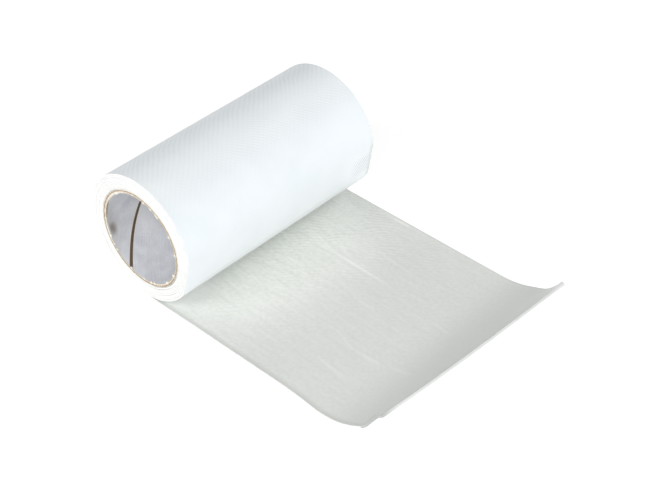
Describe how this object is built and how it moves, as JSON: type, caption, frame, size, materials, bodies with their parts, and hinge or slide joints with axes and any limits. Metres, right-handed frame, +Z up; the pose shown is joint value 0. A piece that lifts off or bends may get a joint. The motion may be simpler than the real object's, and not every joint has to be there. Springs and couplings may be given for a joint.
{
  "type": "roll of mastic tape",
  "caption": "Wide strip of soft mastic with a white facing, wound on a cardboard core, with its loose end unrolled on the floor.",
  "frame": {"origin": "centre of the bounding box, on the floor", "axes": "+X along the roll's axis, -Y towards the loose end, +Z up"},
  "size_m": [0.2, 0.295, 0.1074],
  "materials": {
    "mastic_tape": "white embossed facing, satin, with a grey-green inner face",
    "cardboard": "matt grey and brown board"
  },
  "bodies": {
    "root": {"mastic_tape": "mastic_tape", "cardboard_core": "cardboard"}
  },
  "joints": []
}
